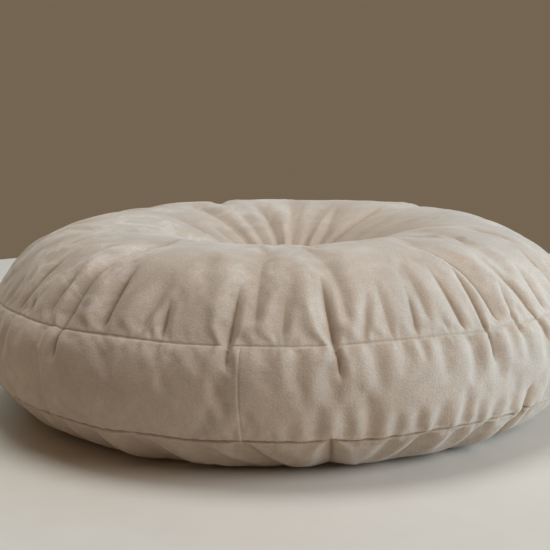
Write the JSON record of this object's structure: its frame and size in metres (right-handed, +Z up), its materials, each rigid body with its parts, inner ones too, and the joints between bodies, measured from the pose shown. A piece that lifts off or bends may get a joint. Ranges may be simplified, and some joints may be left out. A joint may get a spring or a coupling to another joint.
{
  "type": "meditation cushion",
  "caption": "Round filled velvet floor cushion for sitting, with a side band between gathered seams and a tufted, dished top.",
  "frame": {"origin": "on the floor under the middle of the cushion", "axes": "+Z up through the tuft, -Y towards the side seen in the picture, +X to its right"},
  "size_m": [0.4992, 0.4992, 0.145],
  "materials": {
    "velvet": "greige velvet, short soft nap brushed in patches",
    "button_cover": "the same velvet, stretched over the button"
  },
  "bodies": {
    "root": {"cushion": "velvet", "button_top": "button_cover", "button_base": "button_cover"}
  },
  "joints": []
}
